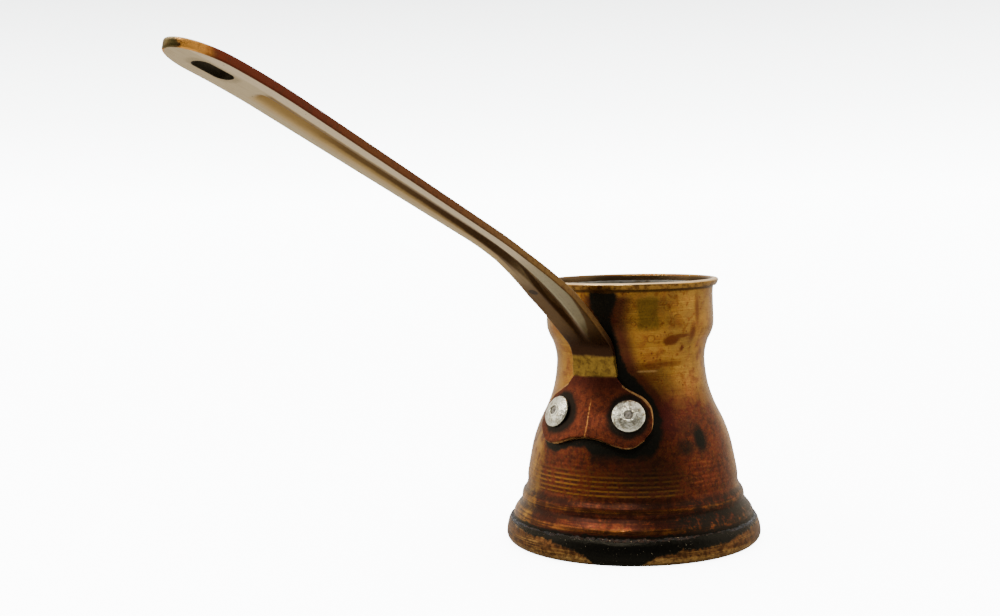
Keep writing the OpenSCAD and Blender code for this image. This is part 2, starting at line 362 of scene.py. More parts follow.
def groove_at(x):
    return groove_d * lookup(x, [
        (neck_x + 2, 0), (neck_x + 14, 0.85), (neck_x + 30, 1), (groove_end_x - 2.2, 1),
        (groove_end_x, 0)])


edge_round = 0.28
round_steps = 4


def section(face_cols=48):
    """The cut across the sheet, as (side from -1 to 1, inset from the edge, depth) in a loop."""
    side = np.linspace(-1, 1, face_cols + 1)
    bend = [radians(90 * k / round_steps) for k in range(1, round_steps)]
    corner = [(edge_round * (1 - sin(a)), edge_round * (1 - cos(a))) for a in bend]
    wall = corner + [(0.0, depth) for depth in np.linspace(edge_round, strip_t - edge_round, 4)]
    wall += [(inset, strip_t - depth) for inset, depth in corner[::-1]]
    return ([(s, edge_round, 0.0) for s in side] + [(1, *point) for point in wall]
            + [(s, edge_round, strip_t) for s in side[::-1]] + [(-1, *point) for point in wall[::-1]])


LOOP = section()
seat_gap = 0.03
edge_az, edge_z = rivet_az + 8.7, rivet_z - 4.85
lower_edge = smooth([
    [0, edge_z + 0.5], [9, edge_z], [15.5, edge_z - 1], [22, edge_z - 1.7],
    [28, edge_z - 1.5], [edge_az, edge_z]], 6)
side_edge = smooth([
    [edge_az, edge_z], [edge_az + 4.4, edge_z + 1.9], [edge_az + 6, rivet_z],
    [edge_az + 5.1, rivet_z + 2.5], [edge_az + 0.6, rivet_z + 4.6], [rivet_az + 1, rivet_z + 6.4],
    [21, rivet_z + 7.5], [16.5, rivet_z + 9.5]], 8)
last_row = len(side_edge) - 1


def bracket_row(j, cap=None):
    """One row of the bracket. cap runs 0 to 1 over the rounded lower edge."""
    az_edge, z_edge = side_edge[j]
    out = []
    for s, inset, depth in LOOP:
        r_near = body_r(z_edge) + strip_t
        az = s * (az_edge - degrees(inset / r_near))
        arch = np.interp(edge_az * abs(s), lower_edge[:, 0], lower_edge[:, 1]) - edge_z
        z = z_edge + arch * (1 - j / last_row) ** 1.5
        lift = seat_gap + strip_t - depth
        if cap is not None:
            a = radians(90 * cap)
            mid = seat_gap + strip_t / 2
            lift = mid + (lift - mid) * (1 - (edge_round / (strip_t / 2)) * (1 - sin(a)))
            z += edge_round * (1 - cos(a)) - edge_round
        lean = body_lean(z)
        r = body_r(z) + lift * cos(lean)
        out.append((r * cos(radians(az)), r * sin(radians(az)),
                    z + lift * sin(lean)))
    return np.array(out)


def neck_row(share):
    z = side_edge[last_row][1] * (1 - share) + neck_z * share
    out = []
    for s, inset, depth in LOOP:
        side = s * (neck_half - inset)
        az = side / waist_r
        rr = body_r(z) + strip_t - depth
        hugging = np.array([rr * cos(az), rr * sin(az), z])
        flat = np.array([neck_x - depth, side, z])
        out.append(hugging * (1 - share) + flat * share)
    return np.array(out)


def strip_row(p, half, slide=0.0):
    """One row of the strip. slide moves it on round the tip, as an angle."""
    out = []
    for s, inset, depth in LOOP:
        reach = half - inset
        side = s * reach * cos(slide)
        on = reach * sin(slide) * tip_l / tip_half
        q = moved(p, on)
        wave = (1 + cos(pi * min(abs(side) / groove_half, 1))) / 2
        sunk = depth + groove_at(q[0]) * wave
        t = radians(p[2])
        out.append((q[0] - sunk * sin(t), side, q[1] + sunk * cos(t)))
    return np.array(out)


rows = [bracket_row(0, c / 4) for c in range(4)]
rows += [bracket_row(j) for j in range(last_row + 1)]
rows += [neck_row(k / 8) for k in range(1, 8)]
rows += [strip_row(p, strip_half(p[0])) for p in path]
rows += [strip_row(end_p, tip_half, radians(90 * k / 28)) for k in range(1, 29)]


def sheet(name, rows):
    n = len(rows[0])
    verts = np.vstack(rows)
    faces = []
    for i in range(len(rows) - 1):
        for k in range(n):
            after = (k + 1) % n
            faces.append((i * n + k, i * n + after, (i + 1) * n + after, (i + 1) * n + k))
    half = LOOP.index(next(q for q in LOOP if q[2] == strip_t))
    # The first row is closed by faces between its outer and inner points
    for i in range(min(half, n - half) - 1):
        faces.append((i + 1, i, n - 1 - i, n - 2 - i))
    ob = mesh_object(name, verts, faces)
    bm = bmesh.new()
    bm.from_mesh(ob.data)
    bmesh.ops.remove_doubles(bm, verts=bm.verts, dist=2e-6)
    holes = [e for e in bm.edges if e.is_boundary]
    if holes:
        bmesh.ops.holes_fill(bm, edges=holes)
    bmesh.ops.recalc_face_normals(bm, faces=bm.faces)
    bm.to_mesh(ob.data)
    bm.free()
    return ob


handle = sheet("handle_strip", rows)


def prism(name, outline, low, high, place, taper):
    """A cutter between two heights. Its sides close by taper for each unit of height."""
    n = len(outline)
    v = [place @ Vector((x, y * (1 - taper * h), h)) for h in (low, high) for x, y in outline]
    f = [list(range(n))[::-1], list(range(n, 2 * n))]
    f += [(k, (k + 1) % n, n + (k + 1) % n, n + k) for k in range(n)]
    return mesh_object(name, np.array(v), f)


def cut(target, cutter):
    m = target.modifiers.new("cut", "BOOLEAN")
    m.operation, m.object, m.solver = "DIFFERENCE", cutter, "EXACT"
    bpy.context.view_layer.update()
    done = bpy.data.meshes.new_from_object(target.evaluated_get(bpy.context.evaluated_depsgraph_get()))
    target.modifiers.clear()
    old = target.data
    target.data = done
    done.name = target.name
    bpy.data.meshes.remove(old)
    mesh = cutter.data
    bpy.data.objects.remove(cutter)
    bpy.data.meshes.remove(mesh)


slot_p = moved(end_p, tip_l - slot_back)
tip_cos, tip_sin = cos(radians(tip_deg)), sin(radians(tip_deg))
tip_x = 159.3
run = (slot_l - slot_w) / 2
outline = np.vstack([arc([run, 0], slot_w / 2, slot_w / 2, -90, 90, 24),
                     arc([-run, 0], slot_w / 2, slot_w / 2, 90, 270, 24)])
place = Matrix.Translation((slot_p[0], 0, slot_p[1])) @ Matrix.Rotation(radians(-tip_deg), 4, "Y")
cut(handle, prism("slot_cutter", outline, -1, 3, place, 0.07))
for p in handle.data.polygons:
    p.use_smooth = True
handle.data.set_sharp_from_angle(angle=radians(42))

# ---- Rivets ----

head_d, head_h, shank_d, mandrel_d = 8.0, 1.5, 4.0, 2.2
head_seat = strip_t + 0.18
tail_top = -wall_t - tin_t - 0.3


def at_rivet(side):
    return (Matrix.Rotation(radians(side * rivet_az), 4, "Z")
            @ Matrix.Translation((body_r(rivet_z), 0, rivet_z))
            @ Matrix.Rotation(pi / 2 - float(body_lean(rivet_z)), 4, "Y"))


def rivet(side, name):
    top, crown = head_seat, head_seat + head_h
    bore = mandrel_d / 2
    profile = np.vstack([
        [[bore, crown - 0.12], [bore + 0.1, crown - 0.02], [bore + 0.42, crown - 0.04],
         [bore + 0.5, crown - 0.16], [bore + 0.66, crown - 0.22]],
        smooth([[bore + 0.9, crown - 0.25], [2.9, crown - 0.56],
                [head_d / 2 - 0.22, top + 0.52], [head_d / 2 - 0.02, top + 0.28],
                [head_d / 2 - 0.05, top + 0.06]], 5),
        [[head_d / 2 - 0.22, top], [shank_d / 2, top], [shank_d / 2, tail_top],
         [shank_d / 2 + 0.45, tail_top - 0.12], [shank_d / 2 + 0.6, tail_top - 0.6],
         [shank_d / 2 + 0.6, tail_top - 3.4], [shank_d / 2 + 0.3, tail_top - 4.3], [1.0, tail_top - 4.6],
         [0, tail_top - 4.6], [0, tail_top - 3.6], [bore, tail_top - 3.6]],
    ])

    def change(r, z, a):
        rough = lumps(r, z, a, 1.1, 5.0 * side, 3)
        on_head = (z > top) & (r > bore + 0.05)
        return r + 0.03 * rough * on_head, z + 0.05 * rough * on_head

    return revolve(name, spaced(profile, 0.3), 96, change, at_rivet(side), 35)


def mandrel(side, name):
    top = head_seat + head_h - 0.28
    r = mandrel_d / 2 - 0.01

    def change(rr, z, a):
        snapped = z > top - 0.3
        return rr, z + snapped * (0.1 * lumps(rr, z, a, 2.2, 2.0 + side, 3) - 0.1 * (rr / r) ** 2)

    profile = [[0, top], [0.35, top - 0.02], [0.7, top + 0.05], [r - 0.12, top], [r, top - 0.12],
               [r, tail_top - 3.4], [0, tail_top - 3.4]]
    return revolve(name, spaced(profile, 0.2), 48, change, at_rivet(side), 35)


rivets = [rivet(1, "rivet_near"), rivet(-1, "rivet_far")]
mandrels = [mandrel(1, "stub_near"), mandrel(-1, "stub_far")]


# ---- Materials ----

def lin(r, g, b):
    """A colour seen on screen, 0 to 255, as a linear one."""
    shares = (r / 255, g / 255, b / 255)
    return tuple(((v + 0.055) / 1.055) ** 2.4 if v > 0.04 else v / 12.92 for v in shares) + (1.0,)


# The radius at which a mark's width is true, unless the mark gives its own
marks_r = 20.5


class Look:
    """A short way to write a node material in millimetres on the CAD frame."""

    def __init__(self, name, metallic=1.0):
        self.mat = bpy.data.materials.new(name)
        self.mat.use_nodes = True
        self.t = self.mat.node_tree
        self.t.nodes.clear()
        self.out = self.t.nodes.new("ShaderNodeOutputMaterial")
        self.bsdf = self.t.nodes.new("ShaderNodeBsdfPrincipled")
        self.bsdf.inputs["Metallic"].default_value = metallic
        self.t.links.new(self.bsdf.outputs[0], self.out.inputs["Surface"])
        co = self.t.nodes.new("ShaderNodeTexCoord").outputs["Object"]
        self.p = self.vec("SCALE", co, 1000.0)
        sep = self.t.nodes.new("ShaderNodeSeparateXYZ")
        self.put(self.p, sep.inputs[0])
        self.x, self.y, self.z = sep.outputs
        self.az = self.mul(self.m("ARCTAN2", self.y, self.x), 180 / pi)
        self.r = self.length(self.x, self.y)

    def put(self, value, socket):
        if hasattr(value, "is_linked"):
            self.t.links.new(value, socket)
        elif isinstance(value, (int, float)) and hasattr(socket.default_value, "__len__"):
            socket.default_value = [value] * len(socket.default_value)
        else:
            socket.default_value = value

    def m(self, op, a, b=0.0, clamp=False):
        n = self.t.nodes.new("ShaderNodeMath")
        n.operation, n.use_clamp = op, clamp
        self.put(a, n.inputs[0])
        self.put(b, n.inputs[1])
        return n.outputs[0]

    def vec(self, op, a, b):
        n = self.t.nodes.new("ShaderNodeVectorMath")
        n.operation = op
        self.put(a, n.inputs[0])
        self.put(b, n.inputs["Scale"] if op == "SCALE" else n.inputs[1])
        return n.outputs[0]

    def stretch(self, sx, sy, sz):
        return self.vec("MULTIPLY", self.p, (sx, sy, sz))

    def combine(self, a, b, c):
        n = self.t.nodes.new("ShaderNodeCombineXYZ")
        for v, s in zip((a, b, c), n.inputs):
            self.put(v, s)
        return n.outputs[0]

    def noise(self, scale, detail=3.0, rough=0.55, co=None, distort=0.0):
        n = self.t.nodes.new("ShaderNodeTexNoise")
        self.put(self.p if co is None else co, n.inputs["Vector"])
        for k, v in (("Scale", scale), ("Detail", detail), ("Roughness", rough), ("Distortion", distort)):
            n.inputs[k].default_value = v
        return n.outputs[0]

    def cells(self, scale, out="Distance"):
        n = self.t.nodes.new("ShaderNodeTexVoronoi")
        self.put(self.p, n.inputs["Vector"])
        n.inputs["Scale"].default_value = scale
        return n.outputs[out]

    def fade(self, v, low, high):
        """0 below low, 1 above high, smooth between. With low over high it falls."""
        n = self.t.nodes.new("ShaderNodeMapRange")
        n.interpolation_type = "SMOOTHSTEP"
        ends = (1, 0) if low > high else (0, 1)
        for value, socket in zip((v, min(low, high), max(low, high), *ends), n.inputs):
            self.put(value, socket)
        return n.outputs["Result"]

    def band(self, v, a, b, c, d):
        return self.mul(self.fade(v, a, b), self.fade(v, d, c))

    def mul(self, *vs):
        out = vs[0]
        for v in vs[1:]:
            out = self.m("MULTIPLY", out, v)
        return out

    def add(self, *vs):
        out = vs[0]
        for v in vs[1:]:
            out = self.m("ADD", out, v)
        return out

    def sub(self, a, b):
        return self.m("SUBTRACT", a, b)

    def size(self, v):
        return self.m("ABSOLUTE", v)

    def length(self, a, b):
        """How long the line across a and b is."""
        return self.m("POWER", self.add(self.mul(a, a), self.mul(b, b)), 0.5)

    def inv(self, v):
        return self.sub(1.0, v)

    def top(self, *vs):
        out = vs[0]
        for v in vs[1:]:
            out = self.m("MAXIMUM", out, v)
        return out

    def mix(self, fac, a, b):
        n = self.t.nodes.new("ShaderNodeMix")
        n.data_type = "RGBA"
        self.put(fac, n.inputs[0])
        self.put(a, n.inputs[6])
        self.put(b, n.inputs[7])
        return n.outputs[2]

    def tint(self, colour, mask, strength, over):
        return self.mix(self.mul(mask, strength), colour, over)

    def weather(self, mid, blot):
        """Keeps two noises, and makes the offsets that bend and fray the marks' outlines."""
        self.mid, self.blot = mid, blot
        self.warp = self.sub(mid, 0.5)
        self.ragged = self.add(self.warp, self.mul(self.sub(blot, 0.5), 0.7))

    def bent(self, v, by):
        return self.add(v, self.mul(self.warp, by))

    def frayed(self, v, by):
        return self.add(v, self.mul(self.ragged, by))

    def along(self, v, points):
        """A value that follows straight lines between (v, result) points."""
        lo, hi = points[0][0], points[-1][0]
        down, up = min(q[1] for q in points), max(q[1] for q in points)
        share = self.m("DIVIDE", self.sub(v, lo), hi - lo, True)
        n = self.t.nodes.new("ShaderNodeValToRGB")
        self.put(share, n.inputs[0])
        e = n.color_ramp.elements
        stops = [((at - lo) / (hi - lo), (result - down) / (up - down)) for at, result in points]
        for stop, (at, g) in zip((e[0], e[1]), (stops[0], stops[-1])):
            stop.position, stop.color = at, (g, g, g, 1)
        for at, g in stops[1:-1]:
            e.new(at).color = (g, g, g, 1)
        return self.add(self.mul(n.outputs[0], up - down), down)

    def spot(self, warp, az, z, wide, tall, soft, r=marks_r):
        """1 inside an oval patch of the turned surface."""
        da = self.m("DIVIDE", self.mul(self.sub(self.az, az), radians(1) * r), wide)
        dz = self.m("DIVIDE", self.sub(self.z, z), tall)
        return self.fade(self.add(self.length(da, dz), warp), 1 + soft, 1 - soft)

    def ring(self, az, z, size):
        """1 on a thin circle drawn on the turned surface."""
        da = self.mul(self.sub(self.az, az), radians(1) * marks_r)
        dz = self.sub(self.z, z)
        off = self.size(self.sub(self.length(da, dz), size))
        return self.fade(off, 0.2, 0.06)

    def finish(self, colour, rough, height, bump):
        self.put(colour, self.bsdf.inputs["Base Color"])
        self.put(rough, self.bsdf.inputs["Roughness"])
        if self.bsdf.inputs["Metallic"].default_value > 0:
            self.bsdf.inputs["Specular Tint"].default_value = (0.82, 0.76, 0.68, 1)
        relief = self.t.nodes.new("ShaderNodeBump")
        relief.inputs["Strength"].default_value = 1.0
        relief.inputs["Distance"].default_value = bump * MM
        self.put(height, relief.inputs["Height"])
        self.t.links.new(relief.outputs[0], self.bsdf.inputs["Normal"])
        return self.mat


GOLD = lin(154, 108, 40)
OLIVE = lin(114, 86, 36)
AMBER = lin(136, 84, 36)
RUST = lin(82, 34, 21)
DEEP = lin(54, 24, 18)
# Soot black, which also paints shadow
SOOT_AND_SHADE = lin(24, 22, 17)

# The pot's marks are laid out from this angle before the handle's plane
marks_from = 2.3
# The dark dot near the handle's neck
dot_x, dot_y = 42.6, -3.3


def blots(k, warp, rows):
    """Oval marks: strength, azimuth, height, half width, half height, softness, and the radius."""
    return k.top(*[k.mul(k.spot(warp, *place), strength) for strength, *place in rows])


def turned_lines(k, along, z_scale):
    """Streaks that run round the body, as a lathe leaves them."""
    ang = k.mul(k.az, pi / 180)
    co = k.combine(k.mul(k.m("COSINE", ang), along), k.mul(k.m("SINE", ang), along),
                   k.mul(k.z, z_scale))
    return k.noise(1.0, 3, 0.6, co)


def worn_brass(k):
    """Brass rubbed back to the metal and dulled again, with a squarish olive film on the collar."""
    col = k.mix(k.fade(k.mid, 0.4, 0.66), GOLD, AMBER)
    col = k.tint(col, k.fade(k.big, 0.45, 0.62), 0.6, OLIVE)
    col = k.tint(col, k.fade(k.blot, 0.52, 0.66), 0.5, lin(120, 70, 22))
    col = k.tint(col, k.fade(k.lines, 0.5, 0.72), 0.4, lin(104, 64, 20))
    col = k.tint(col, k.fade(k.hair, 0.52, 0.7), 0.35, lin(196, 146, 62))
    mottle = k.mul(k.fade(k.add(k.blot, k.mul(k.mid, 0.6)), 0.82, 1.0), k.band(k.az, -70, -20, 100, 140))
    col = k.tint(col, mottle, 0.5, lin(98, 50, 22))
    film = k.mul(k.band(k.bent(k.az, 6), 32, 35, 46, 49),
                 k.band(k.bent(k.z, 3), 54, 55.5, 61.5, 63))
    return k.tint(col, film, 0.7, lin(98, 76, 24))


def heat_mask(k):
    """Heat tarnish, which thickens downwards and fades away from the flame side."""
    low = k.fade(k.add(k.z, k.mul(k.ragged, 13), k.mul(k.sub(k.big, 0.5), 12)), 42, 34)
    front = k.band(k.bent(k.az, 12), -37, -27, 92, 112)
    side = k.mul(k.fade(k.add(k.mid, k.mul(k.big, 0.6)), 0.7, 0.94), 0.75)
    heat = k.mul(low, k.top(front, side))
    return k.m("MULTIPLY", heat, k.add(0.84, k.mul(k.fade(k.fine, 0.3, 0.6), 0.16)), True)


def turned_crests(k, col, ridge):
    """Golden crests between the fine lines and on the beads, and darker in the grooves."""
    crest = k.fade(k.m("COSINE", k.mul(k.sub(k.z, line_z), 2 * pi / line_gap)), 0.2, -0.8)
    comb = k.mul(crest, k.band(k.z, 14.8, 15.6, 19, 22.5), k.band(k.az_wob, -70, -50, 40, 62),
                 k.fade(k.blot, 0.34, 0.56))
    col = k.tint(col, comb, 0.75, lin(128, 84, 32))
    col = k.tint(col, ridge, 0.5, lin(150, 94, 38))
    groove = k.top(k.band(k.z, 9.5, 10.1, 10.6, 11.2), k.mul(k.band(k.z, 13.0, 13.5, 14.0, 14.9), 0.9))
    return k.tint(col, k.mul(groove, k.fade(k.blot, 0.25, 0.5)), 0.88, lin(38, 22, 14))


def soot_and_shadow_masks(k):
    """Soot with painted shadow and reflection of the handle down from the rim beside it and round the
    bracket, and a red-brown border of tarnish and painted penumbra.
    """
    limit = k.along(k.z, [
        (22, 34), (25, 40), (29, 46), (33, 48), (37.7, 45), (41.4, 36), (44.6, 26.5), (49.4, 21.3),
        (57.3, 16.6), (60, 18), (63, 20), (66, 20)])
    start = k.along(k.z, [
        (22, 8), (26, 4), (30, -6), (36, 4), (50, 4), (54, 4.5), (57.5, 7), (60, 1.5), (66, 0.5)])
    past = k.sub(k.frayed(k.az, 7), limit)
    before = k.sub(k.frayed(k.az, 5), start)
    # Painted shadow and reflection of the handle, with soot, in a streak down from the rim
    streak = k.mul(k.fade(past, 1.8, -1.6), k.fade(before, -2, 1.5), k.fade(k.z, 22, 26),
                   k.fade(k.bent(k.z, 2), 64.6, 63.4))
    # A red-brown border of tarnish and painted penumbra beside the streak
    border = k.mul(k.fade(past, 15, 4), k.fade(before, -9, 0), k.fade(k.z, 26, 32), k.fade(k.z, 64, 62))
    border = k.top(border, blots(k, k.ragged, ((0.6, 53, 38, 9, 4.5, 0.8, 20),)))
    # A thin band under the bracket's lower edge: painted shadow and reflection of that edge, with soot
    edge_z_at = k.along(k.from_handle, [*lower_edge[::6], (40, edge_z + 1.8), (46, edge_z + 4)])
    drop = k.sub(k.frayed(k.z, 1.3), edge_z_at)
    deep = k.add(-0.6, k.mul(k.fade(k.az, 8, 30), -0.8))
    below = k.mul(k.fade(k.sub(drop, deep), -1.9, -1.0), k.fade(k.from_handle, 43.5, 39.5),
                  k.fade(k.z, 40, 37))
    spots = blots(k, k.ragged, (
        (1, 71.5, 28.2, 2.2, 3.2, 0.5, 24), (0.8, 60.5, 26.6, 2.4, 1.9, 0.7, 24),
        (0.5, 66, 31, 4, 2.2, 0.7, 23), (0.55, 38, 20, 7, 5.5, 0.7, 25),
        (0.6, -150, 55, 3.4, 5, 0.5), (0.6, 150, 20, 8, 5, 0.7, 25)))
    return streak, k.top(streak, below, spots), border


def foot_soot(k):
    """Soot over the beads on the right."""
    foot = k.mul(k.fade(k.frayed(k.z, 3), 12.2, 10.8), k.fade(k.az_wob, 42, 54),
                 k.fade(k.blot, 0.32, 0.5))
    beads = k.mul(k.fade(k.z, 15, 13), k.fade(k.az, 48, 62), k.fade(k.blot, 0.42, 0.56))
    return k.top(foot, k.mul(beads, 0.7))


def spatter(k):
    """A big brown splash with a tail, ring marks, and specks."""
    splash = blots(k, k.mul(k.ragged, 1.1), (
        (1, 58, 52.0, 2.2, 1.25, 0.35), (0.9, 66, 52.9, 3.0, 0.5, 0.6),
        (1, 69, 49.8, 0.55, 0.75, 0.5), (0.85, 76, 53.5, 1.0, 2.2, 0.7),
        (0.8, 80, 59, 0.8, 3.4, 0.8), (0.45, 63, 56.3, 1.5, 1.5, 0.7),
        (0.7, 43, 45.8, 3.0, 0.9, 0.6), (0.7, 58, 46.2, 4.2, 0.7, 0.7),
        (0.6, 42, 42.8, 2.6, 1.4, 0.7), (0.6, -120, 40, 3.6, 2, 0.7)))
    rings = k.top(*[k.ring(*place) for place in (
        (31, 56.3, 0.5), (42.5, 52.6, 0.9), (62, 57, 1.2), (48, 42.6, 0.7), (54, 60, 0.8),
        (-64, 50, 0.8), (120, 54, 0.9), (170, 58, 0.7), (-140, 47, 1.0))])
    specks = k.mul(k.fade(k.cells(0.62), 0.2, 0.1), k.fade(k.cells(0.62, "Color"), 0.5, 0.6),
                   k.fade(k.z, 22, 30))
    tiny = k.mul(k.fade(k.cells(1.7), 0.26, 0.14), k.fade(k.noise(0.4, 2), 0.46, 0.58))
    return k.top(splash, k.mul(rings, 0.5), k.mul(specks, 0.75), k.mul(tiny, 0.5))


def lip_wear_and_shade(k, col):
    """The lip is worn bright, with painted shade and grime in the fold under it."""
    # Painted shade and grime in the fold under the lip
    shade = k.band(k.z, lip_z - 0.8, lip_z - 0.3, lip_z + 0.1, lip_z + 0.3)
    col = k.tint(col, shade, 0.85, lin(40, 24, 12))
    lip_mask = k.mul(k.fade(k.z, lip_z + 0.05, lip_z + 0.3), k.fade(k.r, collar_r - 0.3, collar_r))
    lip_col = k.mix(k.fade(k.blot, 0.4, 0.62), lin(136, 98, 42), lin(82, 54, 24))
    lip_col = k.mix(k.fade(k.z, pot_h - 0.45, pot_h - 0.15), lip_col, lin(224, 190, 138))
    col = k.tint(col, lip_mask, 0.85, lip_col)
    inner = k.mul(k.fade(k.r, collar_r - 0.42, collar_r - 0.56), k.fade(k.z, 56, 58))
    return k.tint(col, inner, 0.9, lin(62, 51, 36))


def brass_body():
    k = Look("brass_body")
    k.from_handle = k.size(k.az)
    k.az = k.add(k.az, marks_from)
    k.big = k.noise(0.075, 4, 0.6)
    k.weather(k.noise(0.28, 5, 0.62, distort=0.6), k.noise(0.6, 5, 0.65, distort=0.3))
    k.fine = k.noise(1.9, 4, 0.68)
    k.lines = turned_lines(k, 2.0, 2.6)
    k.hair = turned_lines(k, 5.0, 9.0)
    k.az_wob = k.bent(k.az, 20)
    heat = heat_mask(k)
    red = k.mix(k.fade(k.blot, 0.4, 0.62), RUST, DEEP)
    red = k.tint(red, k.fade(k.fine, 0.58, 0.74), 0.22, lin(116, 60, 24))
    col = k.mix(heat, worn_brass(k), red)
    ridge = k.top(k.band(k.z, 11.6, 12.1, 12.5, 13.1), k.band(k.z, 7.2, 7.8, 8.4, 9.0))
    ridge = k.mul(ridge, k.fade(k.hair, 0.38, 0.6))
    col = turned_crests(k, col, ridge)
    # Soot, painted shadow and reflection beside the handle and under the bracket, and a red-brown border
    # of tarnish and painted penumbra
    streak, soot_and_shadow, border = soot_and_shadow_masks(k)
    col = k.tint(col, border, 0.88, lin(60, 24, 20))
    streaks = k.add(k.mul(k.lines, 0.5), k.mul(k.mid, 0.5))
    char = k.mul(k.fade(k.z, 16, 13), k.fade(streaks, 0.42, 0.56), k.band(k.az, -62, -40, 110, 130))
    col = k.tint(col, char, 0.8, lin(38, 19, 14))
    foot = foot_soot(k)
    seam = k.fade(k.frayed(k.z, 2.2), 7.6, 6.9)
    # Soot and painted shadow go to near black
    col = k.mix(k.top(soot_and_shadow, k.mul(foot, 0.9), seam), col, SOOT_AND_SHADE)
    marks = k.mul(spatter(k), k.inv(k.mul(streak, 0.9)))
    col = k.tint(col, marks, 0.92, lin(84, 38, 16))
    scratch = k.mul(k.band(k.z, 44.3, 44.5, 44.7, 44.9), k.band(k.az, 32, 36, 46, 50))
    col = k.tint(col, scratch, 0.35, lin(200, 158, 96))
    col = lip_wear_and_shade(k, col)
    # Rougher where soot, painted shadow, stains and tarnish lie
    dirt_and_shade = k.top(soot_and_shadow, seam, foot, k.mul(marks, 0.8), k.mul(heat, 0.4))
    rough = k.add(0.2, k.mul(dirt_and_shade, 0.1), k.mul(ridge, -0.08), k.mul(k.fine, 0.16), k.mul(k.lines, 0.08))
    bumps = k.add(k.mul(k.lines, 0.5), k.mul(k.hair, 0.35), k.mul(k.fine, 0.3), k.mul(marks, 0.5), k.mid)
    return k.finish(col, rough, bumps, 0.06)


def brass_base():
    k = Look("brass_base")
    k.az = k.add(k.az, marks_from)
    k.weather(k.noise(0.3, 5, 0.62, distort=0.5), k.noise(0.8, 5, 0.66, distort=0.3))
    fine = k.noise(2.2, 4, 0.65)
    scuff = turned_lines(k, 2.6, 5.0)
    col = k.mix(k.fade(k.add(k.blot, k.mul(scuff, 0.6)), 0.62, 0.94), lin(150, 112, 58), lin(84, 52, 26))
    col = k.tint(col, k.fade(scuff, 0.5, 0.7), 0.5, lin(190, 148, 86))
    brown = k.mix(k.fade(k.blot, 0.4, 0.6), lin(78, 42, 22), lin(42, 22, 14))
    tarnish = k.mul(k.fade(k.add(k.z, k.mul(k.ragged, 2), scuff), 1.9, 3.2), k.fade(scuff, 0.3, 0.5))
    col = k.tint(col, tarnish, 0.85, brown)
    # How far down the burnt crust reaches, round the skirt
    reach = k.along(k.az, [
        (-180, 6.2), (-120, 5.6), (-60, 6.2), (-44, 6.0), (-30, 5.4), (-16, 5.2), (-2, 4.2), (8, 2.4),
        (14, -0.6), (29, -0.6), (36, 2.2), (50, 3.8), (74, 4.0), (88, 5.4), (120, 6.0), (180, 6.2)])
    burnt = k.fade(k.sub(k.frayed(k.z, 2.2), reach), -0.3, 0.3)
    burnt = k.mul(burnt, k.fade(k.r, flat_r - 4, flat_r))
    col = k.mix(burnt, col, SOOT_AND_SHADE)
    chips = k.mul(k.fade(fine, 0.66, 0.7), k.fade(k.blot, 0.5, 0.58), burnt)
    col = k.mix(chips, col, lin(190, 176, 142))
    stain = k.mul(k.fade(k.z, 0.5, 0.2), k.fade(k.mid, 0.4, 0.6))
    col = k.tint(col, stain, 0.8, lin(60, 38, 22))
    rough = k.add(0.28, k.mul(fine, 0.2), k.mul(burnt, -0.06))
    bumps = k.add(k.mul(k.mid, 0.7), k.mul(fine, 0.4), k.mul(burnt, k.blot, 1.2))
    return k.finish(col, rough, bumps, 0.09)


def burnt_solder():
    k = Look("burnt_solder", 0.0)
    mid = k.noise(0.8, 5, 0.65)
    fine = k.noise(3.2, 4, 0.65)
    col = k.mix(k.fade(mid, 0.4, 0.65), lin(13, 12, 9), lin(30, 18, 11))
    chip = k.mul(k.fade(fine, 0.66, 0.7), k.fade(mid, 0.5, 0.6))
    col = k.mix(chip, col, lin(170, 150, 112))
    k.bsdf.inputs["Specular IOR Level"].default_value = 0.08
    rough = k.add(0.1, k.mul(fine, 0.22))
    return k.finish(col, rough, k.add(mid, k.mul(fine, 0.5)), 0.16)


def wiped_tin():
    k = Look("wiped_tin")
    wipe = turned_lines(k, 1.5, 0.9)
    mid = k.noise(0.22, 5, 0.6, distort=0.8)
    fine = k.noise(1.6, 4, 0.6)
    col = k.mix(k.fade(mid, 0.4, 0.66), lin(168, 164, 152), lin(104, 94, 78))
    coffee = k.fade(k.add(k.z, k.mul(k.sub(mid, 0.5), 5)), 64.6, 62.6)
    col = k.tint(col, coffee, 0.9, k.mix(k.fade(mid, 0.35, 0.65), lin(46, 35, 22), lin(27, 19, 12)))
    rough = k.add(0.32, k.mul(wipe, 0.2), k.mul(coffee, 0.12))
    return k.finish(col, rough, k.add(k.mul(wipe, 0.7), k.mul(fine, 0.3)), 0.06)


def past_outline(k):
    """Distance past the strip's outline, which tells its cut edges from its faces."""
    half = k.along(k.x, [(20, neck_half), *widths, (end_p[0], tip_half)])
    oval = k.length(k.m("DIVIDE", k.sub(k.x, end_p[0]), tip_cos * tip_l), k.m("DIVIDE", k.y, tip_half))
    tip_part = k.fade(k.x, end_p[0] - 0.2, end_p[0] + 0.2)
    return k.add(k.mul(k.sub(k.size(k.y), half), k.inv(tip_part)),
                 k.mul(k.sub(oval, 1.0), tip_half, tip_part))


def tongue_mask(k):
    """The pale patch in the groove's mouth, low on the neck."""
    low = k.along(k.x, [(24, 1.1), (27.7, 0.8), (31.6, 0.5), (35.4, 0.3), (60, 0.6)])
    high = k.along(k.x, [
        (24, 1.0), (25.5, 1.5), (28, 2.8), (31.8, 4.1), (35.6, 4.8), (42, 5.6), (60, 5.6)])
    return k.mul(k.fade(k.sub(k.y, low), -0.3, 0.9), k.fade(k.sub(k.y, high), 0.2, -0.4),
                 k.band(k.x, 24, 26.5, 48, 62))


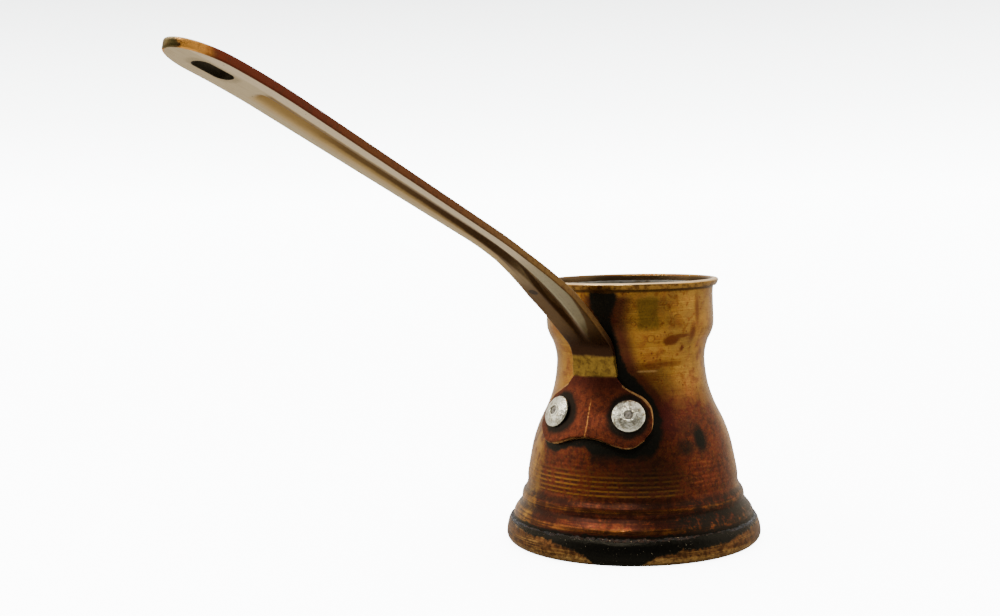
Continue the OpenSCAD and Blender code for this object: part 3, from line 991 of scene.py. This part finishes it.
def strip_face(k, tongue):
    """Brown near the pot and pale further out, with painted light across the groove: a painted shadow
    line where the groove's wall starts, painted shade in the groove and painted reflection on its far
    side and on the near side.
    """
    middle = k.along(k.x, [
        (22, -0.4), (27.7, -0.4), (31.6, -0.8), (35.8, -1.3), (39.5, -1.6), (42.8, -1.2), (52.8, -0.2),
        (60, 0.6), (75, 1.3), (90, 1.5), (132, 1.6), (140, 1.8)])
    from_line = k.sub(k.bent(k.y, 0.3), middle)
    grain = k.mul(k.fade(k.brush, 0.5, 0.72), 0.25)
    col = k.mix(k.fade(k.far, 40, 66), lin(92, 66, 36), lin(184, 164, 126))
    col = k.mix(grain, col, lin(120, 92, 52))
    # Painted reflection, lighter on the groove's far side
    wall = k.mul(k.fade(from_line, -5.0, -3.4), k.band(k.x, 44, 60, groove_end_x - 2, groove_end_x))
    col = k.tint(col, wall, 0.8, lin(174, 142, 88))
    # Painted shade, darker in the groove by the line
    floor_col = k.mix(k.fade(k.x, 80, 108), lin(96, 66, 34), lin(124, 92, 40))
    deep = k.mul(k.fade(from_line, -3.5, -2.3), k.band(k.x, 44, 70, groove_end_x - 2, groove_end_x))
    col = k.tint(col, deep, 0.7, floor_col)
    # Painted reflection on the flat near side
    near_side = k.mix(grain, lin(204, 184, 148), lin(172, 148, 108))
    col = k.mix(k.mul(k.fade(from_line, 0.4, 1.0), k.fade(k.x, 46, 62)), col, near_side)
    ash = k.mix(k.fade(k.x, 27, 33), lin(104, 92, 62), lin(160, 150, 118))
    ash = k.tint(ash, k.fade(k.fine, 0.45, 0.65), 0.25, lin(110, 98, 68))
    col = k.tint(col, tongue, 0.85, ash)
    # The painted shadow line along the groove
    thick = k.along(k.x, [
        (22, 0.7), (30, 0.6), (43, 0.42), (53, 0.3), (60, 0.24), (90, 0.22), (140, 0.16)])
    line = k.mul(k.fade(k.sub(k.size(from_line), thick), 0.25, -0.08),
                 k.band(k.x, 22, 25, groove_end_x - 2, groove_end_x + 0.5))
    # Further out the near side hides the groove's wall, so the painted shadow line is drawn on the
    # groove's floor
    line = k.top(line, k.mul(k.fade(from_line, -2.7, -2.35), k.fade(from_line, 0.3, 0.0),
                             k.band(k.x, 46, 58, 112, 128)))
    return k.mix(k.mul(line, k.add(0.85, k.mul(k.fade(k.x, 84, 112), -0.2))), col, lin(62, 38, 16))


def strip_edge(k):
    """Brown cut edges, with a painted golden highlight just short of the tip."""
    col = k.mix(k.fade(k.far, 48, 97), lin(98, 70, 34), lin(84, 46, 22))
    col = k.mix(k.fade(k.far, 112, 132), col, lin(78, 32, 18))
    before_tip = k.sub(k.bent(k.x, 1.2), tip_x)
    # A painted golden highlight on the edge near the tip
    painted_tip_highlight = k.band(k.add(before_tip, k.mul(k.sub(k.blot, 0.5), 3)), -6.1, -1.9, -0.9, -0.4)
    col = k.mix(painted_tip_highlight, col, lin(212, 144, 60))
    col = k.mix(k.fade(before_tip, -1.1, -0.3), col, lin(76, 64, 34))
    return k.tint(col, k.fade(k.blot, 0.5, 0.64), 0.5, lin(58, 32, 18))


def bracket_heat(k, col, tongue):
    """Tarnish in bands up from the bracket: red-brown, olive, then dark."""
    near = k.fade(k.x, 33, 28)
    hot = k.mul(k.band(k.frayed(k.z, 1.6), 48.0, 48.9, 51.5, 58), near,
                k.inv(k.mul(tongue, 0.75)))
    col = k.tint(col, hot, 0.92, lin(46, 26, 16))
    olive = k.mul(k.band(k.bent(k.z, 0.8), 42.8, 43.6, 48.0, 48.9), near)
    col = k.tint(col, olive, 0.95, k.mix(k.fade(k.blot, 0.4, 0.65), lin(132, 102, 40), lin(94, 70, 28)))
    low = k.fade(k.bent(k.z, 0.9), 43.9, 43.1)
    red = k.mix(k.fade(k.blot, 0.38, 0.62), lin(92, 42, 25), lin(62, 28, 19))
    red = k.tint(red, k.fade(k.noise(4.2, 3, 0.6), 0.52, 0.7), 0.4, lin(134, 82, 42))
    col = k.mix(low, col, red)
    shade = k.mul(low, k.fade(k.bent(k.z, 3), 38.6, 42.0))
    return k.tint(col, shade, 0.7, lin(56, 24, 18))


def bracket_wear_and_shadow(k, col):
    """Soot with painted shadow round the rivets, a bright crease down the middle, and worn edges."""
    for side in (1, -1):
        # Soot with painted shadow, off centre from each rivet
        ring_az = side * (rivet_az - 1.9) + 1.4
        ring = k.spot(k.mul(k.ragged, 0.4), ring_az, rivet_z + 0.8, 5.2, 5.1, 0.14, 23.5)
        col = k.tint(col, ring, 0.96, SOOT_AND_SHADE)
    crease = k.mul(k.fade(k.size(k.add(k.y, k.warp)), 0.22, 0.04), k.band(k.z, 28, 30, 36, 39),
                   k.fade(k.fine, 0.38, 0.52))
    col = k.tint(col, crease, 0.6, lin(186, 126, 62))
    az_abs = k.size(k.az)
    past_side = k.sub(az_abs, k.along(k.z, side_edge[:49:8, ::-1]))
    over_low = k.sub(k.z, k.along(az_abs, [*lower_edge[::6], (46, edge_z)]))
    rims = k.top(k.mul(k.fade(past_side, -0.75, -0.4), k.fade(k.z, edge_z + 0.4, edge_z + 1.5)),
                 k.fade(over_low, 0.3, 0.14))
    worn = k.mul(rims, k.fade(k.z, 43.4, 42), k.fade(k.blot, 0.3, 0.5))
    return k.tint(col, worn, 0.7, lin(170, 126, 74))


def slot_shade_and_smudge(k, col):
    """The slot's walls painted dark as shade, and a brown smudge round it."""
    on = k.add(k.mul(k.sub(k.x, slot_p[0]), tip_cos), k.mul(k.sub(k.z, slot_p[1]), tip_sin))

    def round_slot(reach, start, full):
        past = k.m("MAXIMUM", k.sub(k.size(on), reach), 0.0)
        return k.fade(k.length(past, k.y), start, full)

    half = slot_w / 2
    smudge = k.mul(round_slot(run + 1.3, half + 0.7, half - 0.4), k.add(0.45, k.mul(k.ragged, 0.8)))
    col = k.mix(smudge, col, lin(116, 98, 62))
    # Painted shade on the slot's walls
    return k.tint(col, round_slot(run, half + 0.14, half + 0.02), 0.96, lin(22, 17, 11))


def brass_handle():
    k = Look("brass_handle")
    k.weather(k.noise(0.3, 5, 0.6, distort=0.4), k.noise(0.7, 5, 0.65, distort=0.3))
    k.fine = k.noise(1.9, 4, 0.66)
    k.brush = k.noise(1.0, 3, 0.6, k.stretch(0.12, 2.4, 0.12))
    k.far = k.bent(k.x, 6)
    tongue = tongue_mask(k)
    edge = k.mul(k.fade(past_outline(k), -0.32, -0.14), k.fade(k.x, 21, 24))
    col = k.mix(edge, strip_face(k, tongue), strip_edge(k))
    col = bracket_wear_and_shadow(k, bracket_heat(k, col, tongue))
    # The dark dot, and a few specks
    dot = k.fade(k.length(k.sub(k.x, dot_x), k.sub(k.y, dot_y)), 1.2, 0.9)
    speck = k.mul(k.fade(k.cells(0.8), 0.15, 0.07), k.fade(k.cells(0.8, "Color"), 0.66, 0.74))
    col = k.mix(k.top(dot, k.mul(speck, 0.7)), col, lin(44, 28, 18))
    col = slot_shade_and_smudge(k, col)
    rough = k.add(0.26, k.mul(k.fine, 0.16), k.mul(k.brush, 0.1))
    bumps = k.add(k.mul(k.brush, 0.4), k.mul(k.fine, 0.35), k.mul(k.mid, 0.6))
    return k.finish(col, rough, bumps, 0.05)


def rivet_metal(name, bright, dark, base_rough):
    k = Look(name)
    mid = k.noise(0.9, 5, 0.65)
    fine = k.noise(4.0, 4, 0.6)
    col = k.mix(k.fade(mid, 0.42, 0.72), bright, dark)
    col = k.mix(k.mul(k.fade(fine, 0.6, 0.72), 0.3), col, lin(120, 104, 80))
    rough = k.add(base_rough, k.mul(fine, 0.24))
    return k.finish(col, rough, k.add(k.mul(mid, 0.8), k.mul(fine, 0.3)), 0.16)


def dress(ob, mat):
    ob.data.materials.clear()
    ob.data.materials.append(mat)


dress(body, brass_body())
dress(plate, brass_base())
dress(crust, burnt_solder())
dress(tin, wiped_tin())
dress(handle, brass_handle())
alu = rivet_metal("rivet_aluminium", lin(212, 206, 182), lin(132, 118, 86), 0.12)
steel = rivet_metal("mandrel_steel", lin(132, 126, 114), lin(84, 78, 68), 0.36)
for ob in rivets:
    dress(ob, alu)
for ob in mandrels:
    dress(ob, steel)

# ---- Every piece rides on the one body, and stands for its CAD node ----

for ob, node, slot in (
    (body, "pot_shell", "body_brass"), (plate, "base_plate", "base_brass"),
    (crust, "base_solder", "sooty_solder"), (tin, "tin_lining", "tin"),
    (handle, "handle", "handle_brass"),
    (rivets[0], "rivet_body_left", "rivet_aluminium"), (rivets[1], "rivet_body_right", "rivet_aluminium"),
    (mandrels[0], "rivet_mandrel_left", "mandrel_steel"),
    (mandrels[1], "rivet_mandrel_right", "mandrel_steel"),
):
    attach(ob, "root")
    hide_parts(node)

# ---- Floor, light and camera ----

floor_me = bpy.data.meshes.new("floor")
floor_me.from_pydata([(-6, -6, 0), (6, -6, 0), (6, 6, 0), (-6, 6, 0)], [], [(0, 1, 2, 3)])
floor = placed("floor", floor_me)
paper = Look("paper", 0.0)
grain = paper.noise(0.5, 4, 0.6)
sheet_col = paper.mix(grain, (0.80, 0.80, 0.805, 1), (0.84, 0.84, 0.845, 1))
dim = paper.t.nodes.new("ShaderNodeLightPath").outputs["Is Glossy Ray"]
dress(floor, paper.finish(paper.mix(dim, sheet_col, (0.2, 0.2, 0.2, 1)), 0.6, grain, 0.02))
paper.put(paper.fade(paper.r, 900, 180), paper.bsdf.inputs["Alpha"])
paper.bsdf.inputs["Emission Color"].default_value = (0.98, 1.0, 1.0, 1)
lit = paper.t.nodes.new("ShaderNodeLightPath").outputs["Is Camera Ray"]
paper.put(paper.mul(lit, 8.5), paper.bsdf.inputs["Emission Strength"])

view_az = 26.2
distance, eye_height = 0.359, 0.0863
aim = Vector((0.02, 0, 0.05))
camera = bpy.data.cameras.new("camera")
camera.lens, camera.sensor_width, camera.clip_start = 51.23, 36.0, 0.01
cam = placed("camera", camera)
yaw, pitch, roll = map(radians, (-5.22, -4.33, -1.26))
turn = Matrix.Rotation(radians(90 + view_az), 3, "Z")
fwd = Vector((sin(yaw) * cos(pitch), cos(yaw) * cos(pitch), sin(pitch)))
right = Vector((cos(yaw), -sin(yaw), 0))
up_v = right.cross(fwd)
right, up_v = (right * cos(roll) + up_v * sin(roll),
               up_v * cos(roll) - right * sin(roll))
right, up_v, fwd = turn @ right, turn @ up_v, turn @ fwd
rot = Matrix((right, up_v, -fwd)).transposed().to_4x4()
view_a = radians(view_az)
eye = Vector((distance * cos(view_a), distance * sin(view_a), eye_height))
cam.matrix_world = Matrix.Translation(eye) @ rot
bpy.context.scene.camera = cam


def area(name, az, height, far, size, power):
    """A soft light at an angle round the object, aimed at its middle."""
    d = bpy.data.lights.new(name, "AREA")
    d.shape, d.size, d.size_y, d.energy = "RECTANGLE", size[0], size[1], power
    o = placed(name, d)
    a = radians(az)
    pos = Vector((far * cos(a), far * sin(a), height))
    o.location = pos
    o.rotation_euler = (aim - pos).to_track_quat("-Z", "Y").to_euler()


area("left_light", view_az - 80, 0.45, 0.75, (0.6, 0.8), 2.4)
area("right_light", view_az + 80, 0.45, 0.75, (0.6, 0.8), 1.7)
area("top_light", view_az + 180, 0.95, 0.25, (0.9, 0.9), 2.5)
area("window_left", view_az - 60.5, 0.62, 0.42, (0.1, 0.1), 1.9)
area("window_right", view_az - 11.5, 0.62, 0.42, (0.1, 0.1), 1.6)

world = bpy.data.worlds.new("studio")
bpy.context.scene.world = world
world.use_nodes = True
wt = world.node_tree
wt.nodes.clear()
link = wt.links.new


def sky(strength):
    n = wt.nodes.new("ShaderNodeBackground")
    n.inputs["Strength"].default_value = strength
    return n


def ramp(value, stops):
    n = wt.nodes.new("ShaderNodeValToRGB")
    link(value, n.inputs[0])
    e = n.color_ramp.elements
    e[0].position, e[0].color = stops[0]
    e[1].position, e[1].color = stops[-1]
    for at, colour in stops[1:-1]:
        e.new(at).color = colour
    return n.outputs[0]


def grey(v):
    return (v, v, v, 1)


toward = wt.nodes.new("ShaderNodeTexCoord").outputs["Generated"]
split = wt.nodes.new("ShaderNodeSeparateXYZ")
link(toward, split.inputs[0])
facing = wt.nodes.new("ShaderNodeVectorMath")
facing.operation = "DOT_PRODUCT"
facing.inputs[1].default_value = (cos(view_a), sin(view_a), 0.1)
link(toward, facing.inputs[0])
# A pale sweep to look at, even light on matt things, and a dim room for the metal to mirror
seen, even, mirrored = sky(12.5), sky(5.5), sky(1.0)
sweep = ramp(split.outputs["Z"], [
    (0.0, (0.97, 1.0, 1.0, 1)), (0.06, (0.66, 0.68, 0.68, 1)), (0.2, (0.13, 0.132, 0.13, 1))])
room = ramp(facing.outputs["Value"], [
    (0.0, grey(1.5)), (0.35, grey(0.5)), (0.8, grey(0.16)), (1.0, grey(0.12))])
link(sweep, seen.inputs["Color"])
link(room, mirrored.inputs["Color"])
path_node = wt.nodes.new("ShaderNodeLightPath")
by_gloss, by_view = wt.nodes.new("ShaderNodeMixShader"), wt.nodes.new("ShaderNodeMixShader")
link(path_node.outputs["Is Glossy Ray"], by_gloss.inputs[0])
link(even.outputs[0], by_gloss.inputs[1])
link(mirrored.outputs[0], by_gloss.inputs[2])
link(path_node.outputs["Is Camera Ray"], by_view.inputs[0])
link(by_gloss.outputs[0], by_view.inputs[1])
link(seen.outputs[0], by_view.inputs[2])
link(by_view.outputs[0], wt.nodes.new("ShaderNodeOutputWorld").inputs["Surface"])
